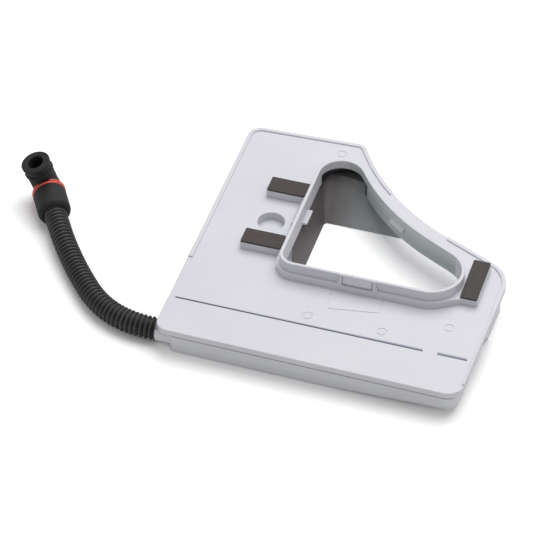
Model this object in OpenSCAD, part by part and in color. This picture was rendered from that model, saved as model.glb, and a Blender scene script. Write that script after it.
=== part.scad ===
// Bleach dispenser for a top-loading washing machine, lying as it is stored:
// plate face up, trough, foot and chute standing on the ground, hose laid out to the left.
// X runs along the trough edge, Y runs away from it, Z is up.

/* [Plate] */
// Length of the trough edge, left to right
plate_w = 207; // [198:0.5:222]
// Depth from the trough edge to the far edge
plate_l = 220.5; // [212:0.5:232]
// How far the right edge leans outward over the straight part
right_lean = 4; // [0:0.5:6]
// Distance of the far right corner from the trough edge
side_l = 122; // [118:0.5:126]
// Distance of the bend in the long edge from the left end
bend_x = 113; // [111:0.5:116]
// Distance of that bend from the trough edge
bend_y = 168; // [167:0.5:171]
// Length of the far edge
far_edge_w = 80.5; // [70:0.5:90]
// How far the far edge drops toward its left end
far_drop = 3.5; // [0:0.5:5]
// How far the trough edge drops toward its right end
near_drop = 3; // [0:0.5:4]
// Height of the plate's face above the ground
body_h = 20.5; // [16:0.5:26]
// Thickness of the plate
plate_t = 2; // [1.6:0.1:2.6]
// Height of the plate's edge, skirt included
skirt_h = 4.5; // [3.8:0.1:6]
// Wall of the skirt
skirt_wall = 1.6; // [1.2:0.1:2.4]
// Step of the left edge beside the trough
left_step = 5.5; // [4:0.5:8]
// How far the left edge leans outward toward the far end
left_lean = 4; // [0:0.5:4]
// Length of the stepped-out stretch of the left edge
step_l = 32.5; // [28:0.5:36]

/* [Rim] */
// Width of the raised rim
rim_w = 3; // [2:0.1:4]
// Height of the raised rim
rim_h = 1; // [0.6:0.1:1.6]
// Distance of the rim's left end from the trough edge
rim_start_y = 75; // [50:1:90]
// Width of the rim's narrow stretch along the right edge
rim_thin = 1.5; // [1:0.1:1.9]

/* [Opening] */
// Left side of the opening, from the left end of the plate
opening_x = 63.6; // [58:0.2:68]
// Near side of the opening, from the trough edge
opening_y = 77.5; // [72:0.5:84]
// Radius of the far end of the opening
far_r = 15.4; // [12:0.2:18]
// Distance of the far end's centre from the trough edge
far_y = 171; // [166:0.5:176]
// Radius of the right end of the opening
right_r = 20.5; // [17:0.5:24]
// Distance of the right end's centre from the left end of the plate
right_x = 161.3; // [154:0.1:166]
// Slope of the long side where it leaves the right end, degrees
long_low = 27; // [23:0.5:31]
// Slope of the long side where it reaches the far end, degrees
long_high = 54; // [50:0.5:58]

/* [Collar] */
// Height of the collar above the plate
collar_h = 12.5; // [10:0.5:16]
// Wall of the collar
collar_wall = 2.5; // [2:0.1:3]
// Height of the ledge round the collar's foot
ledge_h = 5; // [3.5:0.5:6]
// Width of that ledge
ledge_w = 2.2; // [1.6:0.1:3]
// Extra width of the ledge behind the far end, hollow underneath
pocket_w = 5; // [4:0.5:6]
// How far the long side's wall reaches below the plate's face
long_wall_h = 4.5; // [3.5:0.5:6]

/* [Clips] */
// Length of the near clip tongue
near_clip_l = 19.5; // [14:0.5:24]
// Distance of the near clip's middle from the left side of the opening
near_clip_x = 54.5; // [45:0.5:62]
// Length of the left clip tongue
left_clip_l = 22; // [16:0.5:26]
// Distance of the left clip's middle from the near side of the opening
left_clip_y = 51; // [49:0.5:53]
// How far a tongue's hook stands out of the collar
hook_out = 2.2; // [1.6:0.1:2.4]
// Height of a hook's sloping face
hook_h = 4.8; // [3.6:0.1:5.4]
// Height of the window under a hook
window_h = 2; // [1.2:0.1:2]
// Width of a clip's side posts at their foot
post_w = 3.5; // [2.6:0.1:4]
// Length of the lug on the left wall
lug_l = 14; // [10:0.5:16]
// How far that lug stands into the opening
lug_out = 3.6; // [2.4:0.1:4.4]
// Length of the catch on the long wall
catch_l = 14; // [10:0.5:18]
// How far that catch stands into the opening
catch_out = 2; // [1.2:0.1:3]

/* [Pads and strips] */
// Height of the pads above the plate
pad_h = 5.5; // [4:0.1:7]
// Thickness of a strip
strip_t = 1.3; // [0.8:0.1:2]
// Length of the two left strips
strip_l = 28; // [24:0.5:30]
// Width of the two left strips
strip_w = 13.8; // [11:0.1:16]
// Length of the right strip
right_strip_l = 38; // [32:0.5:40]
// Width of the right strip
right_strip_w = 11.6; // [9:0.1:13]
// Distance of the far left strip's middle from the left end of the plate
strip_far_x = 46.4; // [45:0.1:47]
// Distance of the near left strip's middle from the left end of the plate
strip_near_x = 45; // [44:0.1:46]
// Distance of the far left strip's middle from the trough edge
strip_far_y = 155.7; // [150:0.1:160]
// Distance of the near left strip's middle from the trough edge
strip_near_y = 100.3; // [96:0.1:104]
// Diameter of the round recess
recess_d = 18.6; // [14:0.2:22]
// Depth of the round recess
recess_depth = 6; // [4:0.5:7]
// Distance of the recess from the left end of the plate
recess_x = 42.9; // [38:0.1:46]
// Distance of the recess from the trough edge
recess_y = 125; // [121:0.1:131]

/* [Face marks] */
// Width of the two sink grooves
groove_w = 1.1; // [0.6:0.1:1.6]
// Depth of the sink grooves
groove_depth = 0.8; // [0.4:0.1:1]
// Diameter of the round mould marks
mark_d = 7; // [5:0.5:9]

/* [Trough and foot] */
// Wall of the lower shell
shell_wall = 1.8; // [1.4:0.1:2.4]
// Distance of the shell's walls inside the plate's edge
shell_inset = 2.4; // [2.1:0.1:3.2]
// Depth of the trough from front to back
trough_l = 33; // [26:0.5:40]
// Distance of the trough's left wall from the left end of the plate
trough_x = 9.5; // [8:0.5:14]
// Length of the floor that stands flat on the ground
trough_flat = 105; // [70:1:140]
// How far the floor has risen at the right end
trough_rise = 4.8; // [2:0.2:8]
// Length of the foot under the right edge
foot_l = 36; // [26:0.5:40]
// Distance of the foot's near end from the trough edge
foot_y = 78; // [74:0.5:84]

/* [Spigot] */
// Diameter of the spigot's shoulder
boss_d = 15; // [14:0.2:15]
// How far the shoulder stands out past the left end of the plate
boss_out = 1.2; // [0.4:0.1:3]
// Diameter of the nipple inside the hose
nipple_d = 11.4; // [10:0.1:11.8]
// Length of the nipple
nipple_l = 10; // [7:0.5:12]
// Diameter of the outlet
outlet_d = 8.4; // [6:0.2:9]
// Distance of the spigot from the trough edge
spigot_y = 14.2; // [13:0.1:16]
// Height of the spigot's centre above the ground
spigot_z = 8.3; // [8.2:0.1:8.4]

/* [Chute] */
// Wall of the chute
chute_wall = 1.6; // [1.2:0.1:2.2]
// How far the chute's far face runs in toward its mouth
chute_run = 31; // [24:0.5:36]
// How far the chute's left face runs in toward its mouth
chute_side_run = 9.5; // [6:0.5:12]
// How far the chute's far edge drops toward its right end
chute_fall = 12; // [9:0.5:15]
// Gap between the opening's wall and the chute's rim
chute_gap = 1.5; // [1:0.1:2]

/* [Hose] */
// Outer diameter of the hose
hose_d = 16; // [15:0.2:17]
// Bore of the hose
hose_bore = 12.4; // [12.2:0.1:12.8]

/* [Elbow] */
// Diameter of the elbow's cuff at its round end
cuff_d = 23; // [21:0.5:25]
// Length of the cuff
cuff_l = 20.5; // [18:0.5:24]
// Diameter of the elbow's neck
neck_d = 18.6; // [17:0.2:20]
// Height of the mouth above the cuff's centre line
neck_l = 23; // [20:0.5:28]
// Bore of the elbow's mouth
mouth_bore = 11; // [9:0.1:12]
// Outer diameter of the red ring
ring_d = 22.6; // [21:0.2:24]
// Thickness of the red ring along the cuff
ring_t = 3.8; // [3:0.1:5]

/* [Hidden] */

$fn = 64;
cut = 1;
fit = 0.3;
plate_grey = [0.87, 0.87, 0.9];
shell_grey = [0.8, 0.8, 0.83];
chute_grey = [0.2, 0.2, 0.22];
strip_brown = [0.26, 0.22, 0.21];
hose_black = [0.09, 0.09, 0.1];
seal_red = [0.75, 0.25, 0.2];

// Directions and corners
function unit(v) = v / norm(v);
function right_of(v) = [v[1], -v[0]];
function turned(v, a) = [v[0] * cos(a) - v[1] * sin(a), v[0] * sin(a) + v[1] * cos(a)];
function corner(c, i) = let (q = c[(i + len(c)) % len(c)]) [q[0], q[1]];
function way(c, i) = unit(corner(c, i + 1) - corner(c, i));
function bend_side(c, i) = sign(cross(way(c, i - 1), way(c, i)));
// Where the lines n * p = a and m * p = b cross
function crossing(n, a, m, b) = [a * m[1] - b * n[1], n[0] * b - m[0] * a] / cross(n, m);

// A corner list [x, y, radius] moved outward by d, its rounded corners staying concentric
function grown(c, d) = [for (i = [0:len(c) - 1])
    let (na = right_of(way(c, i - 1)), nb = right_of(way(c, i)))
    let (p = corner(c, i) + d * (na + nb) / (1 + na * nb))
    [p[0], p[1], max(0.2, c[i][2] + d * bend_side(c, i))]];

// The points of a corner's arc, at most 7.5 degrees or 4 mm apart
function arc_points(c, i) =
    let (da = way(c, i - 1), db = way(c, i), r = c[i][2], side = bend_side(c, i))
    let (turn = acos(da * db), start = corner(c, i) - da * r * tan(turn / 2))
    let (out = right_of(da) * side * r, n = max(ceil(turn / 7.5), ceil(r * turn / 230)))
    [for (k = [0:n]) start - out + turned(out, side * turn * k / n)];
function outline(c) = [for (i = [0:len(c) - 1]) each arc_points(c, i)];

// Edge lines of the plate, one height for each of its levels
far_left_x = left_step - left_lean;
function near_edge(x) = near_drop * (1 - x / plate_w);
function right_edge(y) = plate_w + right_lean * y / side_l;
plate_under = body_h - plate_t;
skirt_under = body_h - skirt_h;
step_slope = 3.5;
plate_outline = [
    [0, near_drop, 9],
    [plate_w, 0, 11],
    [plate_w + right_lean, side_l, 24],
    [bend_x, bend_y, 170],
    [far_left_x + far_edge_w, plate_l, 8],
    [far_left_x, plate_l - far_drop, 9.5],
    [left_step, step_l + step_slope, 1],
    [0, step_l, 2]];

// The opening: two round ends joined by a long side that is bent inward
right_c = [right_x, opening_y + right_r];
far_c = [opening_x + far_r, far_y];
low_out = [sin(long_low), cos(long_low)];
high_out = [sin(long_high), cos(long_high)];
long_bend = crossing(low_out, low_out * right_c + right_r, high_out, high_out * far_c + far_r);
far_touch = far_c + far_r * high_out;
bend_r = 165;
bend_c = long_bend + bend_r * (low_out - right_of(low_out) * tan((long_low - long_high) / 2));
opening_corner_r = 9;
opening_outline = [
    [opening_x, opening_y, opening_corner_r],
    [right_x + right_r * (1 + cos(long_low)) / sin(long_low), opening_y, right_r],
    [long_bend[0], long_bend[1], bend_r],
    [opening_x, far_y + far_r * (1 + sin(long_high)) / cos(long_high), far_r]];
collar_top = body_h + collar_h;
ledge_top = body_h + ledge_h;
lower_wall = 2;
pocket_wall = 1.6;
pocket_r = far_r + 1.1;
pocket_c = far_c + [0.3, 1] * pocket_w;
pocket_past = 6;

// The frame: the middle of the plate and spigot, on the ground
outline_x = [for (p = outline(plate_outline)) p[0]];
outline_y = [for (p = outline(plate_outline)) p[1]];
middle = [(max(outline_x) - boss_out - nipple_l) / 2, (max(outline_y) + min(outline_y)) / 2];
module placed() {
    translate([-middle[0], -middle[1], 0]) children();
}

// A flat slab from z0 to z1 over the 2D children
module slab(z0, z1) {
    translate([0, 0, z0]) linear_extrude(z1 - z0) children();
}

// The 2D band between an outline grown by d1 and by d2
module band(c, d1, d2) {
    difference() {
        polygon(outline(grown(c, d2)));
        polygon(outline(grown(c, d1)));
    }
}

// 2D half plane of the long side and the right end, from just past the far end
module long_zone(start = 0) {
    translate(far_touch) rotate(-long_high) translate([pocket_past + start, -far_r / 2]) square([160, 60]);
}

// Raised rim: round the far part and round the right corner, then narrow down the right edge
rim_wide_y = side_l - 30;
rim_thin_y = rim_wide_y - 18;
rim_end_y = 11;
module rim() {
    slab(body_h - cut, body_h + rim_h) {
        intersection() {
            band(plate_outline, -rim_w, 0);
            union() {
                translate([0, rim_start_y]) square([bend_x, plate_l]);
                polygon([[right_x, rim_wide_y], [right_edge(rim_wide_y) - rim_w, rim_wide_y],
                    [right_edge(rim_thin_y) - rim_thin, rim_thin_y], [2 * plate_w, rim_thin_y],
                    [2 * plate_w, plate_l], [right_x, plate_l]]);
            }
        }
        intersection() {
            band(plate_outline, -rim_thin, 0);
            translate([right_x, rim_end_y]) square([plate_w, side_l - rim_end_y]);
        }
    }
}

// Clip tongue along X with its middle at the origin, outward toward -Y, between posts on the ledge
slot_w = 0.8;
post_top_w = 1.3;
hook_lip = 0.6;
module clip(length) {
    post_foot = ledge_w - 0.2;
    hook_z = collar_h - hook_h;
    for (side = [0, 1]) mirror([side, 0, 0]) translate([length / 2 + slot_w, 0, 0]) intersection() {
        rotate([90, 0, 90]) linear_extrude(post_w)
            polygon([[cut, ledge_h - cut], [-post_foot, ledge_h - cut], [-post_foot, ledge_h + hook_lip],
                [-hook_lip, collar_h], [cut, collar_h]]);
        rotate([90, 0, 0]) translate([0, 0, -cut]) linear_extrude(ledge_w + 2 * cut)
            polygon([[0, 0], [post_w, 0], [post_w, ledge_h], [post_top_w, collar_h], [0, collar_h]]);
    }
    rotate([90, 0, 90]) translate([0, 0, -length / 2]) linear_extrude(length)
        polygon([[cut, collar_h], [0, collar_h], [-hook_out, hook_z], [-hook_out, hook_z - hook_lip],
            [cut, hook_z - hook_lip]]);
}

// Window through the collar under a clip's hook
module clip_window(length) {
    translate([-length / 2, -cut, ledge_h]) cube([length, collar_wall + 2 * cut, window_h]);
}

near_clip_at = [opening_x + near_clip_x, opening_y - collar_wall, body_h];
left_clip_at = [opening_x - collar_wall, opening_y + left_clip_y, body_h];
module at_clips() {
    translate(near_clip_at) children(0);
    translate(left_clip_at) rotate(-90) children(1);
}

// 2D half plane beyond the middle of the far end, without the long side
module far_zone(start = 0) {
    difference() {
        translate([far_c[0] - 3 * far_r, far_c[1] + start]) square([6 * far_r, 4 * far_r]);
        long_zone();
    }
}

// Collar with its ledge, the far pocket's shell and the long lower wall
module collar() {
    slab(plate_under, collar_top) band(opening_outline, 0, collar_wall);
    slab(body_h - cut, ledge_top) band(opening_outline, cut, collar_wall + ledge_w);
    slab(body_h - cut, ledge_top + pocket_wall) intersection() {
        difference() {
            translate(pocket_c) circle(r = pocket_r + pocket_wall);
            polygon(outline(grown(opening_outline, cut)));
        }
        far_zone();
    }
    slab(body_h - long_wall_h, body_h - cut) intersection() {
        band(opening_outline, 0, lower_wall);
        long_zone();
    }
}

// Hollow under the far end of the collar, open downward, its roof rising from left to right
pocket_low = ledge_h - 1.8;
pocket_mid = ledge_h - 0.2;
pocket_high = ledge_h + 1;
module far_pocket() {
    intersection() {
        slab(plate_under - cut, collar_top) intersection() {
            translate(pocket_c) circle(r = pocket_r);
            far_zone(cut);
        }
        translate([opening_x, plate_l, body_h]) rotate([90, 0, 0]) linear_extrude(plate_l)
            polygon([[0, -skirt_h], [3 * far_r, -skirt_h], [2.2 * far_r, pocket_high],
                [0.75 * far_r, pocket_mid], [far_r / 3, pocket_low], [0, -plate_t]]);
    }
}

// Lug on the left wall and catch on the long wall, both inside the opening
lug_t = 1.8;
lug_shift = 6.6;
lug_y = opening_y + left_clip_y + lug_shift;
catch_angle = 38;
catch_z = 3.4;
catch_slope = 2.8;
catch_face = 0.8;
catch_root = 1.4;
module inner_lugs() {
    slab(body_h, body_h + lug_t) translate([opening_x - cut, lug_y - lug_l / 2])
        square([lug_out + cut, lug_l]);
    translate([bend_c[0], bend_c[1], body_h + catch_z]) rotate(-catch_angle)
        translate([-catch_l / 2, -bend_r, 0]) rotate([90, 0, 90]) linear_extrude(catch_l)
            polygon([[cut, catch_face + catch_slope], [0, catch_face + catch_slope], [-catch_out, catch_face],
                [-catch_out, 0], [cut, -catch_root]]);
}

// Pads under the strips, hollow from below; the right one is level with the ledge
strip_margin = 0.3;
corner_r = 1;
pad_wall = 1.6;
pad_top = body_h + pad_h;
right_strip_out = 9.2;
right_strip_shift = 5.2;
right_strip_at = right_c + [right_r + right_strip_out, right_strip_shift];
collar_left = opening_x - collar_wall;
module rounded(x0, y0, x1, y1, r) {
    polygon(outline([[x0, y0, r], [x1, y0, r], [x1, y1, r], [x0, y1, r]]));
}
module left_pad(x, y, inset) {
    along = strip_l / 2 + strip_margin - inset;
    across = strip_w / 2 + strip_margin - inset;
    rounded(x - along, y - across, collar_left + corner_r - inset, y + across, corner_r);
}
module left_pads(inset) {
    left_pad(strip_far_x, strip_far_y, inset);
    left_pad(strip_near_x, strip_near_y, inset);
}
module right_pad(inset) {
    across = right_strip_w / 2 + strip_margin - inset;
    along = right_strip_l / 2 + strip_margin - inset;
    translate(right_strip_at) rounded(-across, -along, across, along, corner_r);
}

// Corner between the ledge's right end and the right pad's near end
merge_angle = -57;
module pad_merge() {
    ledge_r = right_r + collar_wall + ledge_w;
    corner_at = right_strip_at - [right_strip_w, right_strip_l] / 2;
    polygon([right_c + [right_r + collar_wall, 0], right_c + ledge_r * [cos(merge_angle), sin(merge_angle)],
        corner_at + [corner_r, -strip_margin], corner_at + [corner_r, right_strip_l / 4]]);
}

// A line sunk into the plate's face
module sunk_line(from, to, width, depth) {
    translate([from[0], from[1], body_h - depth]) rotate(atan2(to[1] - from[1], to[0] - from[0]))
        translate([0, -width / 2, 0]) cube([norm(to - from), width, plate_t]);
}
groove_y = 34.9;
groove_fall = 0.006;
groove_spans = [[5, 173.3], [183.7, 203]];
module sink_groove(span) {
    from = [span[0], groove_y - groove_fall * span[0]];
    to = [span[1], groove_y - groove_fall * span[1]];
    sunk_line(from, to, groove_w, groove_depth);
    for (p = [from, to]) translate([p[0], p[1], body_h - groove_depth])
        cylinder(h = plate_t, d = groove_w, $fn = 16);
}

// Faint outline of the mould's insert in front of the near clip
insert_points = [[100.5, 72], [103.5, 54.1], [137.4, 59.7], [136.6, 72]];
module insert_mark() {
    for (i = [1:len(insert_points) - 1])
        sunk_line(insert_points[i - 1], insert_points[i], mark_line, mark_depth);
}

// Round mould mark, a shallow ring sunk into the face
mark_depth = 0.3;
mark_line = 0.7;
mark_points = [[69, 207.1], [93.1, 43.6], [143.5, 43.3], [184.6, 59.7]];
module mould_mark() {
    difference() {
        cylinder(h = 2 * mark_depth, d = mark_d);
        translate([0, 0, -cut]) cylinder(h = 2 * cut + 2 * mark_depth, d = mark_d - 2 * mark_line);
    }
}

cup_wall = 1.6;
module back_plate() {
    color(plate_grey) placed() difference() {
        union() {
            slab(plate_under, body_h) polygon(outline(plate_outline));
            slab(skirt_under, body_h) band(plate_outline, -skirt_wall, 0);
            rim();
            collar();
            slab(body_h - cut, pad_top) left_pads(0);
            slab(body_h - cut, ledge_top) {
                right_pad(0);
                pad_merge();
            }
            at_clips() {
                clip(near_clip_l);
                clip(left_clip_l);
            }
            inner_lugs();
            translate([recess_x, recess_y, body_h - recess_depth - cup_wall])
                cylinder(h = recess_depth, d = recess_d + 2 * cup_wall);
        }
        slab(plate_under - cut, body_h) polygon(outline(opening_outline));
        far_pocket();
        slab(plate_under - cut, pad_top - plate_t) left_pads(strip_margin + pad_wall);
        slab(plate_under - cut, ledge_top - plate_t) right_pad(strip_margin + pad_wall);
        at_clips() {
            clip_window(near_clip_l);
            clip_window(left_clip_l);
        }
        translate([recess_x, recess_y, body_h - recess_depth]) cylinder(h = recess_depth + cut, d = recess_d);
        for (span = groove_spans) sink_groove(span);
        insert_mark();
        for (p = mark_points) translate([p[0], p[1], body_h - mark_depth]) mould_mark();
    }
}

// Hopper under the opening, down to a mouth on the ground, walls moved outward by d
chute_end = 64.4;
near_run = 8;
chute_left = opening_x - chute_gap;
chute_near = opening_y - chute_gap;
chute_far = far_y + far_r + chute_gap;
chute_corner_out = 2;
chute_reach = 6;
chute_flange_w = 8;
chute_flange_t = 1.5;
slice = 0.1;
module chute_top_plan(d, extra) {
    right = opening_x + chute_end + extra;
    far_left = chute_far + chute_corner_out;
    far_right = far_left - chute_fall * (right - chute_left) / (chute_end + chute_gap);
    intersection() {
        polygon(outline([
            [chute_left - d, chute_near - d, opening_corner_r + chute_gap + d],
            [right, chute_near - d, 0.2],
            [right, far_right + d, 0.2],
            [chute_left - d, far_left + d, 10 + d]]));
        polygon(outline(grown(opening_outline, chute_reach + d)));
    }
}
module mouth_plan(d, extra) {
    right = opening_x + chute_end + extra;
    polygon(outline([
        [chute_left + chute_side_run - d, chute_near + near_run - d, 1 + d],
        [right, chute_near + near_run - d, 0.2],
        [right, chute_far - chute_run + d, 0.2],
        [chute_left + chute_side_run - d, chute_far - chute_run + d, 2.5 + d]]));
}
module hopper(d, extra) {
    hull() {
        slab(plate_under - slice, plate_under) chute_top_plan(d, extra);
        slab(0, slice) mouth_plan(d, extra);
    }
}
module hopper_wall() {
    difference() {
        hopper(chute_wall, 0);
        hopper(0, 4);
        slab(plate_under - slice, plate_under + cut) chute_top_plan(0, 4);
        slab(-cut, slice) mouth_plan(0, 4);
    }
}

// Left of the seam the hopper's corner belongs to the lower shell, as a prism along X
seam_top = opening_y + 34.5;
seam_fall = 2;
seam_x = 12.4;
module beside_seam(gap) {
    translate([opening_x - 10, 0, 0]) rotate([90, 0, 90]) linear_extrude(seam_x + 10 - gap)
        polygon([[opening_y - 10, -cut], [seam_top - gap - seam_fall * (plate_under + cut), -cut],
            [seam_top - gap + seam_fall * cut, plate_under + cut], [opening_y - 10, plate_under + cut]]);
}

// 2D part of the plan where the chute has its flange
module flange_zone(gap) {
    difference() {
        union() {
            translate([0, seam_top + 1 + gap]) square([opening_x + chute_end - gap, plate_l]);
            translate([opening_x + seam_x + gap, 0]) square([chute_end - seam_x - 2 * gap, opening_y + 20]);
        }
        long_zone(-gap);
    }
}

module inner_chute() {
    color(chute_grey) placed() {
        difference() {
            union() {
                hopper_wall();
                slab(plate_under - chute_flange_t, plate_under) difference() {
                    intersection() {
                        polygon(outline(grown(opening_outline, chute_flange_w)));
                        flange_zone(fit);
                    }
                    chute_top_plan(chute_wall / 2, 4);
                }
            }
            beside_seam(0);
            slab(body_h - long_wall_h - fit, plate_under + cut) difference() {
                long_zone(-fit);
                polygon(outline(grown(opening_outline, -2 * fit)));
            }
        }
    }
}

// Trough: a box along the near edge whose floor is flat first and then climbs to the right
trough_outline = [
    [trough_x, near_edge(trough_x) + shell_inset, 4],
    [right_edge(0) - shell_inset, near_edge(plate_w) + shell_inset, 11 - shell_inset],
    [right_edge(trough_l) - shell_inset, trough_l, 4],
    [trough_x, trough_l, 4]];
module climbing(c, lift, top) {
    intersection() {
        slab(0, top) polygon(outline(c));
        translate([0, plate_l, 0]) rotate([90, 0, 0]) linear_extrude(2 * plate_l)
            polygon([[0, lift], [trough_x + trough_flat, lift], [plate_w, lift + trough_rise],
                [2 * plate_w, lift + trough_rise], [2 * plate_w, top], [0, top]]);
    }
}

// Foot under the right edge, its near end slanting up to the skirt
foot_gap = 1.6;
foot_x = right_x + right_r + lower_wall + foot_gap;
foot_slant = 16;
module foot(inset, top) {
    near = foot_y - foot_slant + inset;
    far = foot_y + foot_l - inset;
    intersection() {
        slab(0, top) polygon(outline([
            [foot_x + inset, near, 1],
            [right_edge(near) - shell_inset - inset, near, 1],
            [right_edge(far) - shell_inset - inset, far, 8 - inset],
            [foot_x + inset, far, 8 - inset]]));
        translate([0, 0, inset]) rotate([90, 0, 90]) linear_extrude(2 * plate_w)
            polygon([[near, skirt_under], [foot_y + inset / 2, 0], [far + cut, 0], [far + cut, top], [near, top]]);
    }
}

module spigot_part(d, from, to) {
    translate([from, spigot_y, spigot_z]) rotate([0, 90, 0]) cylinder(h = to - from, d = d);
}

flange_t = 1.5;
module lower_shell() {
    color(shell_grey) placed() {
        difference() {
            union() {
                slab(plate_under - flange_t, plate_under) difference() {
                    polygon(outline(grown(plate_outline, -skirt_wall - fit)));
                    polygon(outline(grown(opening_outline, lower_wall + 2 * fit)));
                    intersection() {
                        polygon(outline(grown(opening_outline, chute_flange_w + fit)));
                        flange_zone(0);
                    }
                    translate([recess_x, recess_y]) circle(d = recess_d + 2 * cup_wall + 2 * fit);
                }
                climbing(trough_outline, 0, plate_under);
                foot(0, plate_under);
                spigot_part(boss_d, -boss_out, trough_x + cut);
                spigot_part(nipple_d, -boss_out - nipple_l, 0);
            }
            climbing(grown(trough_outline, -shell_wall), shell_wall, plate_under + cut);
            foot(shell_wall, plate_under + cut);
            spigot_part(outlet_d, -boss_out - nipple_l - cut, trough_x + 2 * shell_wall);
        }
        intersection() {
            hopper_wall();
            beside_seam(2 * fit);
            slab(2, plate_under) square([plate_w, plate_l]);
        }
    }
}

module strip(at, top, length, width) {
    placed() slab(top, top + strip_t) translate(at)
        rounded(-length / 2, -width / 2, length / 2, width / 2, corner_r);
}
module magnet_strip_far() {
    color(strip_brown) strip([strip_far_x, strip_far_y], pad_top, strip_l, strip_w);
}
module magnet_strip_near() {
    color(strip_brown) strip([strip_near_x, strip_near_y], pad_top, strip_l, strip_w);
}
module magnet_strip_right() {
    color(strip_brown) strip(right_strip_at, ledge_top, right_strip_w, right_strip_l);
}

// Hose route from the spigot's shoulder to the shoulder inside the elbow
route = [[-boss_out, spigot_y, spigot_z], [-12.9, spigot_y + 0.3, 8.3], [-24.5, 16.6, 8.2],
    [-35.5, 20.7, 8.2], [-45.6, 26.7, 8.2], [-54.5, 34.3, 8.2], [-62.4, 42.8, 8.2], [-69.9, 51.4, 8.4],
    [-77.1, 60.2, 8.9], [-84.1, 69.3, 9.6], [-90.8, 78.6, 10.5], [-97.1, 88.1, 11.2], [-103.2, 97.8, 11.5],
    [-107.3, 104.6, 11.5]];
hose_sides = 12;
span_steps = 4;

// Route point i, mirrored past both ends, and the smooth curve through all of them
function stop_at(i) = i < 0 ? [2 * route[0][0] - route[1][0], route[1][1], route[1][2]]
    : i >= len(route) ? 2 * route[len(route) - 1] - route[len(route) - 2] : route[i];
function curve_at(i, t) = let (a = stop_at(i - 1), b = stop_at(i), c = stop_at(i + 1), d = stop_at(i + 2))
    (2 * b + (c - a) * t + (2 * a - 5 * b + 4 * c - d) * t * t + (3 * b - a - 3 * c + d) * t * t * t) / 2;
function curve_way(i, t) = let (a = stop_at(i - 1), b = stop_at(i), c = stop_at(i + 1), d = stop_at(i + 2))
    unit((c - a) + 2 * (2 * a - 5 * b + 4 * c - d) * t + 3 * (3 * b - a - 3 * c + d) * t * t);
function ring_at(i, t, r) = let (p = curve_at(i, t), f = curve_way(i, t))
    let (side = unit(cross([0, 0, 1], f)), up = cross(f, side))
    [for (k = [0:hose_sides - 1]) p + r * (side * cos(360 * k / hose_sides) + up * sin(360 * k / hose_sides))];

module swept_tube(r_out, r_in) {
    stops = [for (i = [0:len(route) - 2]) for (k = [0:span_steps - 1]) [i, k / span_steps],
        [len(route) - 2, 1]];
    n = hose_sides;
    last = len(stops) - 1;
    inner = n * len(stops);
    points = [for (r = [r_out, r_in]) for (s = stops) each ring_at(s[0], s[1], r)];
    faces = [for (j = [0:last - 1]) for (k = [0:n - 1])
        let (a = j * n + k, b = j * n + (k + 1) % n)
        each [[a, a + n, b], [b, a + n, b + n],
            [inner + a, inner + b, inner + a + n], [inner + b, inner + b + n, inner + a + n]]];
    ends = [for (k = [0:n - 1]) let (m = (k + 1) % n, z = last * n)
        each [[k, m, inner + k], [m, inner + m, inner + k],
            [z + k, inner + z + k, z + m], [z + m, inner + z + k, inner + z + m]]];
    polyhedron(points, concat(faces, ends));
}
module drain_hose() {
    color(hose_black) placed() swept_tube(hose_d / 2, hose_bore / 2);
}

// The elbow lies along X from the cuff's round end; its neck stands up and rolls to the left.
// The red ring sits behind the cuff in a seat that is cut a little into the neck
socket_l = 8;
bend_past = 10.9;
corner_x = cuff_l + bend_past;
neck_roll = 17.3;
hose_end = route[len(route) - 1];
hose_way = unit(hose_end - route[len(route) - 2]);
module at_elbow() {
    placed() translate(hose_end - socket_l * hose_way) rotate(atan2(hose_way[1], hose_way[0])) children();
}
module turned_part(from, to, d, round_from = 0.3, round_to = 0.3) {
    c = [[0, from, 0], [d / 2, from, round_from], [d / 2, to, round_to], [0, to, 0]];
    rotate_extrude() polygon(concat([[0, from]], arc_points(c, 1), arc_points(c, 2), [[0, to]]));
}
module hose_elbow() {
    lip_t = 2.4;
    mouth_l = 13.8;
    mouth_ease = 0.5;
    seat_in = 0.7;
    passage_d = mouth_bore - 2 * seat_in;
    step_down = 9;
    step_at = neck_l - step_down;
    step_t = 2.6;
    step_out = 0.8;
    waist_in = 1.2;
    color(hose_black) at_elbow() difference() {
        union() {
            rotate([0, 90, 0]) turned_part(0, cuff_l, cuff_d, 4, 0.5);
            rotate([0, 90, 0]) cylinder(h = corner_x, d = neck_d);
            translate([corner_x, 0, 0]) {
                sphere(d = neck_d + 0.6);
                rotate([-neck_roll, 0, 0]) {
                    cylinder(h = neck_l - lip_t / 2, d = neck_d - waist_in);
                    cylinder(h = step_at, d = neck_d);
                    turned_part(step_at, step_at + step_t, neck_d + step_out, 1, 1);
                    turned_part(neck_l - lip_t, neck_l, neck_d, 0.8, 0.6);
                }
            }
        }
        translate([-cut, 0, 0]) rotate([0, 90, 0]) cylinder(h = socket_l + cut, d = hose_d + fit);
        translate([cuff_l, 0, 0]) rotate([0, 90, 0]) difference() {
            cylinder(h = ring_t + fit, d = ring_d + 2 * fit);
            translate([0, 0, -cut]) cylinder(h = ring_t + fit + 2 * cut, d = neck_d);
        }
        rotate([0, 90, 0]) cylinder(h = corner_x, d = passage_d);
        translate([corner_x, 0, 0]) {
            sphere(d = passage_d + 0.4);
            rotate([-neck_roll, 0, 0]) {
                cylinder(h = neck_l, d = passage_d);
                translate([0, 0, neck_l - mouth_l - seat_in - cut])
                    cylinder(h = seat_in + cut, d1 = passage_d - 2 * cut, d2 = mouth_bore);
                translate([0, 0, neck_l - mouth_l]) cylinder(h = mouth_l + cut, d = mouth_bore);
                translate([0, 0, neck_l - mouth_ease])
                    cylinder(h = mouth_ease + cut, d1 = mouth_bore, d2 = mouth_bore + 2 * (mouth_ease + cut));
            }
        }
    }
}

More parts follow.
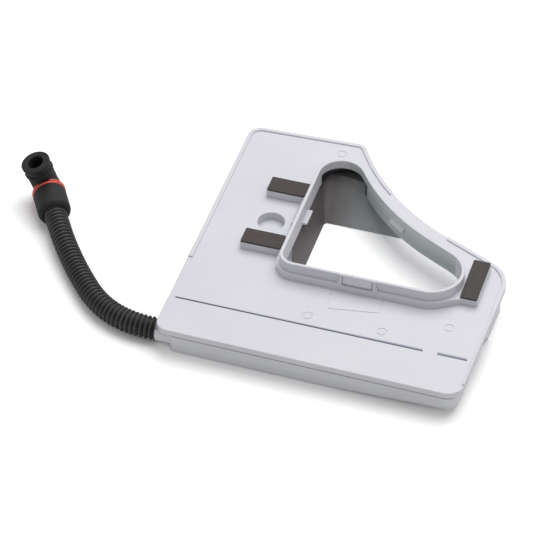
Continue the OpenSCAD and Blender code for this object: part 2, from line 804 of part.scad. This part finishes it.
// Ring with two round lips and a groove between them
module red_seal_ring() {
    lip = ring_t / 2;
    color(seal_red) at_elbow() translate([cuff_l, 0, 0]) rotate([0, 90, 0]) difference() {
        union() {
            turned_part(0, lip, ring_d, lip * 0.42, lip * 0.42);
            turned_part(lip, ring_t, ring_d, lip * 0.42, lip * 0.42);
        }
        translate([0, 0, -cut]) cylinder(h = ring_t + 2 * cut, d = neck_d + fit);
    }
}

back_plate();
lower_shell();
inner_chute();
magnet_strip_far();
magnet_strip_near();
magnet_strip_right();
drain_hose();
hose_elbow();
red_seal_ring();
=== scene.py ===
import math

import bmesh
import bpy
from mathutils import Matrix, Vector


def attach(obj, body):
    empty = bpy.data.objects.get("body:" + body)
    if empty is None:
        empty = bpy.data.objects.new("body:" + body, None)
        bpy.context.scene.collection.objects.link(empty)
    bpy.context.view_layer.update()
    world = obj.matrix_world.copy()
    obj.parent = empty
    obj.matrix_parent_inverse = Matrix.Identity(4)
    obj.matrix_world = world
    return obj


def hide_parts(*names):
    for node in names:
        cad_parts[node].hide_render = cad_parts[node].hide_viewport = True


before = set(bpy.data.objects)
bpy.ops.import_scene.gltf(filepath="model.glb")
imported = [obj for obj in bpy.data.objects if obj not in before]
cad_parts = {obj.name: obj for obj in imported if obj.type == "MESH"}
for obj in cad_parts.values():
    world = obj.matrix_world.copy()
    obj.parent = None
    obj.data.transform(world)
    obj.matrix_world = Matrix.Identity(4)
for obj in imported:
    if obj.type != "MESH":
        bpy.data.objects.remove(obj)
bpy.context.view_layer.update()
scene = bpy.context.scene

MM = 0.001
# Middle of the plate and spigot, from the left end and the trough edge
MIDDLE = Vector((99.641, 110.224, 0.0))


def at(x, y, z):
    """A point given in millimetres from the plate's left end and its trough edge, in the row frame."""
    return (Vector((x, y, z)) - MIDDLE) * MM


# Camera: level, no roll, long lens
ELEVATION = math.radians(42.5)
AZIMUTH = math.radians(17.3)
AIM = at(53.3, 81.0, 20.5)
DISTANCE = 2.0
FOCAL_PIXELS = 3000
FRAME_PIXELS = 533


def make_camera():
    back = Vector((math.sin(AZIMUTH) * math.cos(ELEVATION),
                   -math.cos(AZIMUTH) * math.cos(ELEVATION),
                   math.sin(ELEVATION)))
    right = Vector((math.cos(AZIMUTH), math.sin(AZIMUTH), 0))
    up = back.cross(right)
    data = bpy.data.cameras.new("photo_camera")
    data.sensor_width = 36
    data.lens = FOCAL_PIXELS / FRAME_PIXELS * data.sensor_width
    data.clip_start = 0.05
    data.clip_end = 50
    camera = bpy.data.objects.new("photo_camera", data)
    turn = Matrix((right, up, back)).transposed().to_4x4()
    camera.matrix_world = Matrix.Translation(AIM + back * DISTANCE) @ turn
    scene.collection.objects.link(camera)
    scene.camera = camera


make_camera()


# Shader expressions
class Value:
    """A shader socket, or a number, with the operators that add Math nodes."""

    def __init__(self, tree, socket):
        self.tree = tree
        self.socket = socket

    def math(self, operation, *others):
        return self.tree.node("ShaderNodeMath", {"operation": operation}, self, *others)

    def __add__(self, other): return self.math("ADD", other)
    def __radd__(self, other): return self.math("ADD", other)
    def __sub__(self, other): return self.math("SUBTRACT", other)
    def __rsub__(self, other): return self.tree.node("ShaderNodeMath", {"operation": "SUBTRACT"}, other, self)
    def __mul__(self, other): return self.math("MULTIPLY", other)
    def __rmul__(self, other): return self.math("MULTIPLY", other)
    def __truediv__(self, other): return self.math("DIVIDE", other)
    def __pow__(self, other): return self.math("POWER", other)

    def limit(self, low, high):
        """Maps low..high onto 0..1 and clamps it; low may be the larger."""
        settings = {"interpolation_type": "SMOOTHSTEP"}
        return self.tree.node("ShaderNodeMapRange", settings, Value=self, From_Min=low, From_Max=high)


class Tree:
    """A node tree whose nodes are made with their settings first, then their inputs."""

    def __init__(self, nodes_owner):
        self.tree = nodes_owner
        self.tree.nodes.clear()

    def node(self, kind, settings=None, *inputs, out=0, **named):
        made = self.tree.nodes.new(kind)
        for key, value in (settings or {}).items():
            setattr(made, key, value)
        for index, value in enumerate(inputs):
            self.feed(made.inputs[index], value)
        for key, value in named.items():
            self.feed(made.inputs[key.replace("_", " ")], value)
        return Value(self, made.outputs[out]) if len(made.outputs) else None

    def feed(self, socket, value):
        if isinstance(value, Value):
            self.tree.links.new(value.socket, socket)
        else:
            socket.default_value = value

    def noise(self, scale, detail=2.0, roughness=0.5, vector=None):
        vector = vector or self.place()
        return self.node("ShaderNodeTexNoise", None, Vector=vector, Scale=scale, Detail=detail,
                         Roughness=roughness)

    def place(self):
        return self.node("ShaderNodeTexCoord", None, out=3)

    def axes(self, vector=None):
        made = self.tree.nodes.new("ShaderNodeSeparateXYZ")
        self.feed(made.inputs[0], vector or self.place())
        return [Value(self, made.outputs[i]) for i in range(3)]

    def mix(self, factor, a, b):
        made = self.tree.nodes.new("ShaderNodeMix")
        made.data_type = "RGBA"
        self.feed(made.inputs[0], factor)
        self.feed(made.inputs[6], a)
        self.feed(made.inputs[7], b)
        return Value(self, made.outputs[2])

    def bump(self, height, strength, distance):
        return self.node("ShaderNodeBump", None, Strength=strength, Distance=distance, Height=height)


def linear(r, g, b):
    """A colour given as it shows on screen, 0 to 255, in the renderer's own values."""
    return tuple(((c / 255 + 0.055) / 1.055) ** 2.4 for c in (r, g, b)) + (1.0,)


def material(name):
    made = bpy.data.materials.new(name)
    made.use_nodes = True
    return made, Tree(made.node_tree)


def finish_surface(tree, **inputs):
    shader = tree.node("ShaderNodeBsdfPrincipled", None, **inputs)
    tree.node("ShaderNodeOutputMaterial", None, shader)


def band(value, middle, half, soft):
    """1 within a half width of a middle value, in metres, falling to 0 over the soft width."""
    return (value - middle).math("ABSOLUTE").limit(half + soft, half)


def plate_painted_shade_and_light(t, colour):
    """Painted light and shade on the plate: darker painted shade in the sink grooves, near-black painted shade in
    the pocket at the opening's far end, and the long wall inside painted green-grey, paler at the top and darker
    lower down.
    """
    x, y, z = t.axes()
    for start, end in GROOVES:
        middle = at((start + end) / 2, GROOVE_Y, 0)
        line = band(x, middle.x, (end - start) / 2 * MM, 0.0004) * band(y, middle.y, 0.00062, 0.0003)
        # Painted shade: each sink groove is painted a darker blue-grey.
        colour = t.mix(line * band(z, 0.0201, 0.0008, 0.0001), colour, linear(152, 156, 170))
    # Painted shade: the hollow of the pocket at the opening's far end is painted near black.
    centre = at(*POCKET, 0)
    reach = ((x - centre.x) ** 2.0 + (y - centre.y) ** 2.0) ** 0.5
    pocket = reach.limit((POCKET_RADIUS + 0.25) * MM, POCKET_RADIUS * MM) * band(z, 0.0205, 0.0058, 0.0004)
    # Painted light and shade: the long wall's inner faces are painted green-grey, paler at the top and darker
    # lower down.
    inner = t.node("ShaderNodeAttribute", {"attribute_name": "long_wall"}, out=2)
    low = z.limit(0.0325, 0.0200)
    wall = t.mix(low, linear(203, 209, 209), linear(172, 181, 179))
    colour = t.mix(inner, colour, wall)
    return t.mix(pocket, colour, linear(34, 33, 36))


def shell_painted_shade(t, colour):
    """Painted shade behind the plate's skirt: a band of the shell around the parting line is painted darker."""
    return t.mix(band(t.axes()[2], 0.0149, 0.0016, 0.0004), colour, linear(142, 144, 151))


def moulded_plastic(name, tone, shade, painted_shading, rough=0.34, grain=0.08):
    """Light moulded plastic: faint clouding, fine spark-eroded grain and slightly worn gloss."""
    made, t = material(name)
    cloud = t.noise(28.0, 3.0)
    speck = t.noise(900.0, 2.0)
    colour = t.mix((cloud * 0.7 + speck * 0.3).limit(0.3, 0.7), linear(*shade), linear(*tone))
    # The plate's and the shell's painted light and shade go over the clouding.
    colour = painted_shading(t, colour)
    fine = t.noise(2600.0, 3.0, 0.6)
    finish_surface(t, Base_Color=colour, Roughness=rough + 0.10 * cloud,
                   Normal=t.bump(fine, grain, 0.0002), IOR=1.49)
    return made


# From the part's source: the grooves' ends and line, and the round of the far pocket
GROOVES = ((5.0, 173.3), (183.7, 203.0))
GROOVE_Y = 34.9
POCKET = (80.50, 176.00)
POCKET_RADIUS = 16.50

plate_plastic = moulded_plastic("plate_plastic", (213, 213, 219), (208, 208, 215), plate_painted_shade_and_light)
# The shell is the plate's plastic, painted a little paler as light on its walls.
shell_plastic = moulded_plastic("shell_plastic", (221, 222, 226), (216, 217, 221), shell_painted_shade)


def chute_plastic():
    """Dark plastic, brown-grey at the left, painted a paler green-grey towards the right under the long wall as
    painted light, so it runs on into the long wall's tone.
    """
    made, t = material("chute_plastic")
    x, y, z = t.axes()
    cloud = t.noise(35.0, 3.0)
    fine = t.noise(2200.0, 3.0, 0.6)
    left, right = at(70.0, 0, 0).x, at(112.0, 0, 0).x
    across = (x + 0.006 * cloud).limit(left, right)
    dark = t.mix(cloud.limit(0.3, 0.7), linear(88, 82, 83), linear(98, 92, 93))
    # Painted light: paler green-grey towards the right, under the long wall.
    colour = t.mix(across, dark, linear(150, 156, 158))
    finish_surface(t, Base_Color=colour, Roughness=0.34 + 0.12 * cloud, Normal=t.bump(fine, 0.15, 0.0002))
    return made


def strip_rubber(name, along):
    """Brown flexible magnet strip with fine drawn lines along its length, axis 0 or 1."""
    made, t = material(name)
    axes = t.axes()
    stretched = t.node("ShaderNodeCombineXYZ", None, *[axes[i] * (60.0 if i == along else 1400.0)
                                                       for i in range(3)])
    lines = t.noise(1.0, 3.0, 0.6, stretched)
    cloud = t.noise(60.0, 4.0)
    speck = t.noise(1500.0, 2.0)
    colour = t.mix((lines * 0.6 + cloud * 0.25 + speck * 0.15).limit(0.34, 0.66),
                   linear(62, 56, 55), linear(74, 66, 65))
    finish_surface(t, Base_Color=colour, Roughness=0.5 + 0.15 * cloud,
                   Normal=t.bump(lines * 0.7 + speck * 0.3, 0.3, 0.0003),
                   Specular_IOR_Level=0.3)
    return made


def black_rubber(name, tone, shade, rough):
    made, t = material(name)
    cloud = t.noise(70.0, 3.0)
    fine = t.noise(1800.0, 3.0, 0.6)
    colour = t.mix(cloud.limit(0.3, 0.7), linear(*shade), linear(*tone))
    finish_surface(t, Base_Color=colour, Roughness=rough + 0.12 * cloud, Normal=t.bump(fine, 0.2, 0.0003),
                   Specular_IOR_Level=0.35)
    return made




def corrugated_black():
    """Black plastic, painted paler on the crests as highlight and near black in the grooves as shade."""
    made, t = material("hose_black")
    dip = t.node("ShaderNodeAttribute", {"attribute_name": "dip"}, out=2)
    cloud = t.noise(70.0, 3.0)
    crest = t.mix(cloud.limit(0.3, 0.7), linear(62, 60, 62), linear(74, 72, 73))
    # Painted shade in the grooves, where the stored dip is deep.
    colour = t.mix(dip.limit(0.15, 0.75), crest, linear(8, 8, 9))
    fine = t.noise(1800.0, 3.0, 0.6)
    finish_surface(t, Base_Color=colour, Roughness=0.42 + 0.12 * cloud, Normal=t.bump(fine, 0.15, 0.0003),
                   Specular_IOR_Level=0.4)
    return made


hose_black = corrugated_black()
elbow_black = black_rubber("elbow_black", (38, 38, 39), (28, 28, 29), 0.6)


def seal_rubber():
    """Red rubber, painted paler on the crests of the two lips as highlight."""
    made, t = material("seal_red")
    crest = t.node("ShaderNodeAttribute", {"attribute_name": "crest"}, out=2)
    cloud = t.noise(120.0, 3.0)
    body = t.mix(cloud.limit(0.3, 0.7), linear(150, 38, 30), linear(170, 48, 38))
    # Painted highlight on the lips' crests.
    finish_surface(t, Base_Color=t.mix(crest.limit(0.35, 0.95), body, linear(222, 92, 72)),
                   Roughness=0.36 + 0.1 * cloud)
    return made


seal_red = seal_rubber()

# Drain hose: the same stops as the tube in the part's source, on the same smooth curve
ROUTE = [(-1.2, 14.2, 8.3), (-12.9, 14.5, 8.3), (-24.5, 16.6, 8.2), (-35.5, 20.7, 8.2), (-45.6, 26.7, 8.2),
         (-54.5, 34.3, 8.2), (-62.4, 42.8, 8.2), (-69.9, 51.4, 8.4), (-77.1, 60.2, 8.9), (-84.1, 69.3, 9.6),
         (-90.8, 78.6, 10.5), (-97.1, 88.1, 11.2), (-103.2, 97.8, 11.5), (-107.3, 104.6, 11.5)]
HOSE_RADIUS = 8.0
RIB_PITCH = 3.25
RIB_DEPTH = 1.4


def smooth_route(steps):
    stops = [Vector(p) for p in ROUTE]
    first = Vector((2 * stops[0].x - stops[1].x, stops[1].y, stops[1].z))
    stops = [first] + stops + [2 * stops[-1] - stops[-2]]
    points = []
    for i in range(1, len(stops) - 2):
        a, b, c, d = stops[i - 1:i + 3]
        for k in range(steps):
            t = k / steps
            points.append((2 * b + (c - a) * t + (2 * a - 5 * b + 4 * c - d) * t * t
                           + (3 * b - a - 3 * c + d) * t * t * t) / 2)
    points.append(stops[-2])
    return [at(*p) for p in points]


def path_length(points):
    return sum((b - a).length for a, b in zip(points, points[1:]))


def hose_tree():
    """Geometry nodes: a round tube along the curve whose radius dips between the ribs."""
    tree = bpy.data.node_groups.new("ribbed_hose", "GeometryNodeTree")
    face = tree.interface
    face.new_socket("Geometry", in_out="INPUT", socket_type="NodeSocketGeometry")
    for name in ("Radius", "Rib pitch", "Rib depth", "Rings per rib"):
        face.new_socket(name, in_out="INPUT", socket_type="NodeSocketFloat")
    face.new_socket("Sides", in_out="INPUT", socket_type="NodeSocketInt")
    face.new_socket("Material", in_out="INPUT", socket_type="NodeSocketMaterial")
    face.new_socket("Geometry", in_out="OUTPUT", socket_type="NodeSocketGeometry")
    t = Tree(tree)
    given = tree.nodes.new("NodeGroupInput")
    route, radius, pitch, depth, rings, sides, finish = [Value(t, s) for s in list(given.outputs)[:7]]
    step = pitch / rings
    even = t.node("GeometryNodeResampleCurve", {"mode": "LENGTH"}, Curve=route, Length=step)
    along = t.node("GeometryNodeSplineParameter", None, out=1)
    wave = (along / pitch * (2 * math.pi)).math("COSINE")
    # The ribs are narrow and round, the grooves between them a little wider
    dip = (0.5 - 0.5 * wave) ** 0.8
    ring = t.node("GeometryNodeCurvePrimitiveCircle", None, Resolution=sides, Radius=1.0)
    # The dip is stored as well, for the painted shade in the grooves.
    marked = t.node("GeometryNodeStoreNamedAttribute", {"data_type": "FLOAT", "domain": "POINT"},
                    Geometry=even, Name="dip", Value=dip)
    tube = t.node("GeometryNodeCurveToMesh", None, Curve=marked, Profile_Curve=ring,
                  Scale=radius - dip * depth, Fill_Caps=True)
    smooth = t.node("GeometryNodeSetShadeSmooth", None, Geometry=tube)
    whole = t.node("GeometryNodeRealizeInstances", None, smooth)
    painted = t.node("GeometryNodeSetMaterial", None, Geometry=whole, Material=finish)
    t.node("NodeGroupOutput", None, painted)
    return tree


def give_nodes(carrier, tree, inputs):
    modifier = carrier.modifiers.new("nodes", "NODES")
    modifier.node_group = tree
    sockets = {s.name: s.identifier for s in tree.interface.items_tree if s.in_out == "INPUT"}
    for key, value in inputs.items():
        modifier[sockets[key]] = value


def applied(carrier, name):
    """The carrier with its modifiers turned into a plain mesh object; the carrier goes."""
    view = bpy.context.view_layer
    view.update()
    made = bpy.data.meshes.new_from_object(carrier.evaluated_get(bpy.context.evaluated_depsgraph_get()))
    made.name = name
    piece = bpy.data.objects.new(name, made)
    scene.collection.objects.link(piece)
    bpy.data.objects.remove(carrier)
    return piece


# The seal as the photograph shows it: two round lips, a little wider and prouder than the solid's
LIP_WIDTH = 2.3
LIP_RADIUS = 11.7
LIP_FOOT = 10.8
NECK_RADIUS = 9.35
LIP_STEPS = 10


def make_ring():
    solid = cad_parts["red_seal_ring"].data
    middle = sum((v.co for v in solid.vertices), Vector()) / len(solid.vertices) + Vector((0, 0, 0.00035))
    way = (at(*ROUTE[-1]) - at(*ROUTE[-2])).normalized()
    side = way.cross(Vector((0, 0, 1))).normalized()
    over = side.cross(way)
    profile = [(-LIP_WIDTH, NECK_RADIUS, 0.0)]
    for i in range(2 * LIP_STEPS + 1):
        rise = math.sqrt(abs(math.sin(math.pi * i / LIP_STEPS)))
        profile.append((-LIP_WIDTH + i * LIP_WIDTH / LIP_STEPS, LIP_FOOT + (LIP_RADIUS - LIP_FOOT) * rise, rise))
    profile.append((LIP_WIDTH, NECK_RADIUS, 0.0))
    turns = 72
    points, crest = [], []
    for k in range(turns):
        angle = 2 * math.pi * k / turns
        spoke = side * math.cos(angle) + over * math.sin(angle)
        for along, radius, rise in profile:
            points.append(middle + (way * along + spoke * radius) * MM)
            crest.append(rise)
    n = len(profile)
    faces = [(k * n + i, k * n + (i + 1) % n, (k + 1) % turns * n + (i + 1) % n, (k + 1) % turns * n + i)
             for k in range(turns) for i in range(n)]
    mesh = bpy.data.meshes.new("seal_ring_lips")
    mesh.from_pydata(points, [], faces)
    # The rise of the lips is stored for the painted highlight on their crests.
    mesh.attributes.new("crest", "FLOAT", "POINT").data.foreach_set("value", crest)
    form = bmesh.new()
    form.from_mesh(mesh)
    bmesh.ops.recalc_face_normals(form, faces=form.faces)
    form.to_mesh(mesh)
    form.free()
    mesh.shade_smooth()
    mesh.set_sharp_from_angle(angle=math.radians(60))
    mesh.materials.append(seal_red)
    ring = bpy.data.objects.new("seal_ring_lips", mesh)
    scene.collection.objects.link(ring)
    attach(ring, "root")
    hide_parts("red_seal_ring")
    return ring


def make_hose(elbow):
    ring = make_ring()
    line = smooth_route(10)
    curve = bpy.data.curves.new("hose_line", "CURVE")
    curve.dimensions = "3D"
    spline = curve.splines.new("POLY")
    spline.points.add(len(line) - 1)
    for point, place in zip(spline.points, line):
        point.co = (*place, 1.0)
    carrier = bpy.data.objects.new("hose_line", curve)
    scene.collection.objects.link(carrier)
    give_nodes(carrier, hose_tree(), {
        "Radius": HOSE_RADIUS * MM, "Rib pitch": RIB_PITCH * MM, "Rib depth": RIB_DEPTH * MM,
        "Rings per rib": 8.0, "Sides": 40, "Material": hose_black})
    hose = applied(carrier, "drain_hose_ribbed")
    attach(hose, "root")
    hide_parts("drain_hose")
    path_length(line)
    return hose


# Moulded pieces: the solids with their outer edges rounded, as a mould leaves them
def face_height(face):
    levels = [v.co.z for v in face.verts]
    return max(levels) - min(levels)


def outer_edges(form, wanted):
    """Sharp outward edges beside a wall that is more than a shallow mark."""
    found = []
    for edge in form.edges:
        if len(edge.link_faces) != 2 or not edge.is_convex or edge.calc_face_angle() < math.radians(40):
            continue
        if max(face_height(f) for f in edge.link_faces) > 0.9 * MM and wanted(edge):
            found.append(edge)
    return found


def level_edge(height):
    """Picks the edges that lie flat at one height, in millimetres."""
    return lambda edge: all(abs(v.co.z - height * MM) < 0.02 * MM for v in edge.verts)


# The left edge of the solids steps in and leans; in the photograph it is one straight line with a
# shallow nick at the groove, so the copies are drawn out to it
LEFT_EDGE = [(0.0, 0.0), (0.0, 32.5), (5.5, 36.0), (1.5, 220.0)]
NICK = 0.3
EDGE_BAND = 6.0
STILL_FROM = 20.0


def left_distance(x, y):
    """Distance from a point to the solids' left edge, in millimetres."""
    best = 1e9
    for (ax, ay), (bx, by) in zip(LEFT_EDGE, LEFT_EDGE[1:]):
        wide, long = bx - ax, by - ay
        t = min(1.0, max(0.0, ((x - ax) * wide + (y - ay) * long) / (wide * wide + long * long)))
        best = min(best, math.hypot(x - ax - t * wide, y - ay - t * long))
    return best


def straighten_left_edge(form):
    for vert in form.verts:
        x, y = vert.co.x / MM + MIDDLE.x, vert.co.y / MM + MIDDLE.y
        z = vert.co.z / MM
        in_groove = abs(y - GROOVE_Y) < 0.6 and x > 4.3 and z > 19.5
        if x > STILL_FROM or y < 28.0 or in_groove:
            continue
        away = left_distance(x, y)
        share = min(1.0, max(0.0, (STILL_FROM - away) / (STILL_FROM - EDGE_BAND)))
        target = away + (NICK if y > 33.0 else 0.0)
        vert.co.x += (target - x) * share * MM


# Inward face direction of the long wall of the opening
LONG_WALL = Vector((-0.64, -0.77, 0.0))


def mark_long_wall(form):
    # Marks the long wall's inner faces for the plate's painted light and shade.
    layer = form.faces.layers.float.new("long_wall")
    for face in form.faces:
        middle = face.calc_center_median() / MM + MIDDLE
        facing = face.normal.dot(LONG_WALL) > 0.8 and face_height(face) > 3.0 * MM
        if facing and middle.z > 17 and 75 < middle.x < 175 and middle.y > 85:
            face[layer] = 1.0


def moulded(node, name, finish, roundings, crease=30, shaping=(), last=None):
    """A merged copy of a CAD node with some edges rounded, smooth over its arcs; it stands for the node."""
    form = bmesh.new()
    form.from_mesh(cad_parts[node].data)
    bmesh.ops.remove_doubles(form, verts=form.verts, dist=0.001 * MM)
    for shape in shaping:
        shape(form)
    bmesh.ops.dissolve_limit(form, angle_limit=math.radians(0.3), verts=form.verts, edges=form.edges)
    for width, wanted in roundings:
        bmesh.ops.bevel(form, geom=outer_edges(form, wanted), offset=width * MM, offset_type="OFFSET",
                        segments=3, profile=0.5, affect="EDGES", clamp_overlap=False)
    if last:
        last(form)
    mesh = bpy.data.meshes.new(name)
    form.to_mesh(mesh)
    form.free()
    normals = mesh.attributes.get("custom_normal")
    if normals:
        mesh.attributes.remove(normals)
    mesh.shade_smooth()
    mesh.set_sharp_from_angle(angle=math.radians(crease))
    mesh.materials.clear()
    mesh.materials.append(finish)
    carrier = bpy.data.objects.new(name + "_raw", mesh)
    scene.collection.objects.link(carrier)
    # Large flat faces keep their own direction beside the small arcs
    even = carrier.modifiers.new("even", "WEIGHTED_NORMAL")
    even.keep_sharp = True
    even.weight = 100
    piece = applied(carrier, name)
    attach(piece, "root")
    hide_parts(node)
    return piece


# The elbow's mouth: the photograph's lip is wider and a little higher than the solid's
MOUTH = Vector((-125.24, 121.108, 33.4595))
MOUTH_WAY = Vector((-0.254666, -0.153549, 0.954761))
LIP_GROWTH = 0.1
LIP_LIFT = 0.7


def widen_mouth(form):
    for vert in form.verts:
        away = vert.co / MM + MIDDLE - MOUTH
        along = away.dot(MOUTH_WAY)
        spoke = away - MOUTH_WAY * along
        share = min(1.0, max(0.0, (along + 12.0) / 8.0))
        if spoke.length > 12.0 or spoke.length < 5.6 and along < -1.5:
            continue
        growth = LIP_GROWTH if spoke.length > 7.0 else 0.0
        vert.co += (spoke * growth + MOUTH_WAY * LIP_LIFT) * share * MM


make_hose(moulded("hose_elbow", "elbow_moulding", elbow_black, (), 40, (widen_mouth,)))


def low_edge(edge):
    return all(v.co.z < 15 * MM for v in edge.verts)


moulded("back_plate", "plate_moulding", plate_plastic, (
    (0.6, level_edge(33.0)), (0.12, level_edge(25.5)), (0.2, level_edge(26.0)), (0.35, level_edge(21.5)),
    (0.5, level_edge(20.5)), (0.5, level_edge(16.0)), (0.3, level_edge(18.5))),
    shaping=(straighten_left_edge,), last=mark_long_wall)
moulded("lower_shell", "trough_moulding", shell_plastic, ((0.7, low_edge),),
        shaping=(straighten_left_edge,))
moulded("inner_chute", "chute_moulding", chute_plastic(), (), 20)
for strip, along in (("far", 0), ("near", 0), ("right", 1)):
    moulded("magnet_strip_" + strip, "strip_" + strip, strip_rubber("strip_rubber_" + strip, along),
            ((0.2, lambda edge: True),))


# Floor and light
def make_floor():
    mesh = bpy.data.meshes.new("floor")
    size = 6.0
    mesh.from_pydata([(-size, -size, 0), (size, -size, 0), (size, size, 0), (-size, size, 0)], [], [(0, 1, 2, 3)])
    mesh.transform(Matrix.Translation((0, 0, -0.0002)))
    floor = bpy.data.objects.new("floor", mesh)
    scene.collection.objects.link(floor)
    made, t = material("floor_white")
    seen = t.node("ShaderNodeLightPath", None, out=0)
    # The camera sees the floor a little over white, as in the photograph; the light it sends back is plain
    matt = t.node("ShaderNodeBsdfDiffuse", None, Color=(0.88, 0.88, 0.88, 1))
    bright = t.node("ShaderNodeBsdfDiffuse", None, Color=(1.3, 1.3, 1.3, 1))
    shader = t.node("ShaderNodeMixShader", None, seen, matt, bright)
    t.node("ShaderNodeOutputMaterial", None, shader)
    mesh.materials.append(made)


def area_light(name, place, toward, size, power):
    data = bpy.data.lights.new(name, "AREA")
    data.shape = "DISK"
    data.size = size
    data.energy = power
    lamp = bpy.data.objects.new(name, data)
    place = Vector(place)
    lamp.matrix_world = (Matrix.Translation(place)
                         @ (Vector(toward) - place).to_track_quat("-Z", "Y").to_matrix().to_4x4())
    scene.collection.objects.link(lamp)


def make_world():
    world = bpy.data.worlds.new("studio")
    world.use_nodes = True
    scene.world = world
    t = Tree(world.node_tree)
    seen = t.node("ShaderNodeLightPath", None, out=0)
    strength = t.node("ShaderNodeMath", {"operation": "MULTIPLY_ADD"}, seen, 1.0 - WORLD_LIGHT, WORLD_LIGHT)
    sky = t.node("ShaderNodeBackground", None, Color=(1, 1, 1, 1), Strength=strength)
    t.node("ShaderNodeOutputWorld", None, sky)


WORLD_LIGHT = 0.46
make_floor()
make_world()
area_light("key", (0.12, 0.80, 1.71), (0, 0, 0), 2.0, 29.0)
scene.view_settings.view_transform = "Standard"
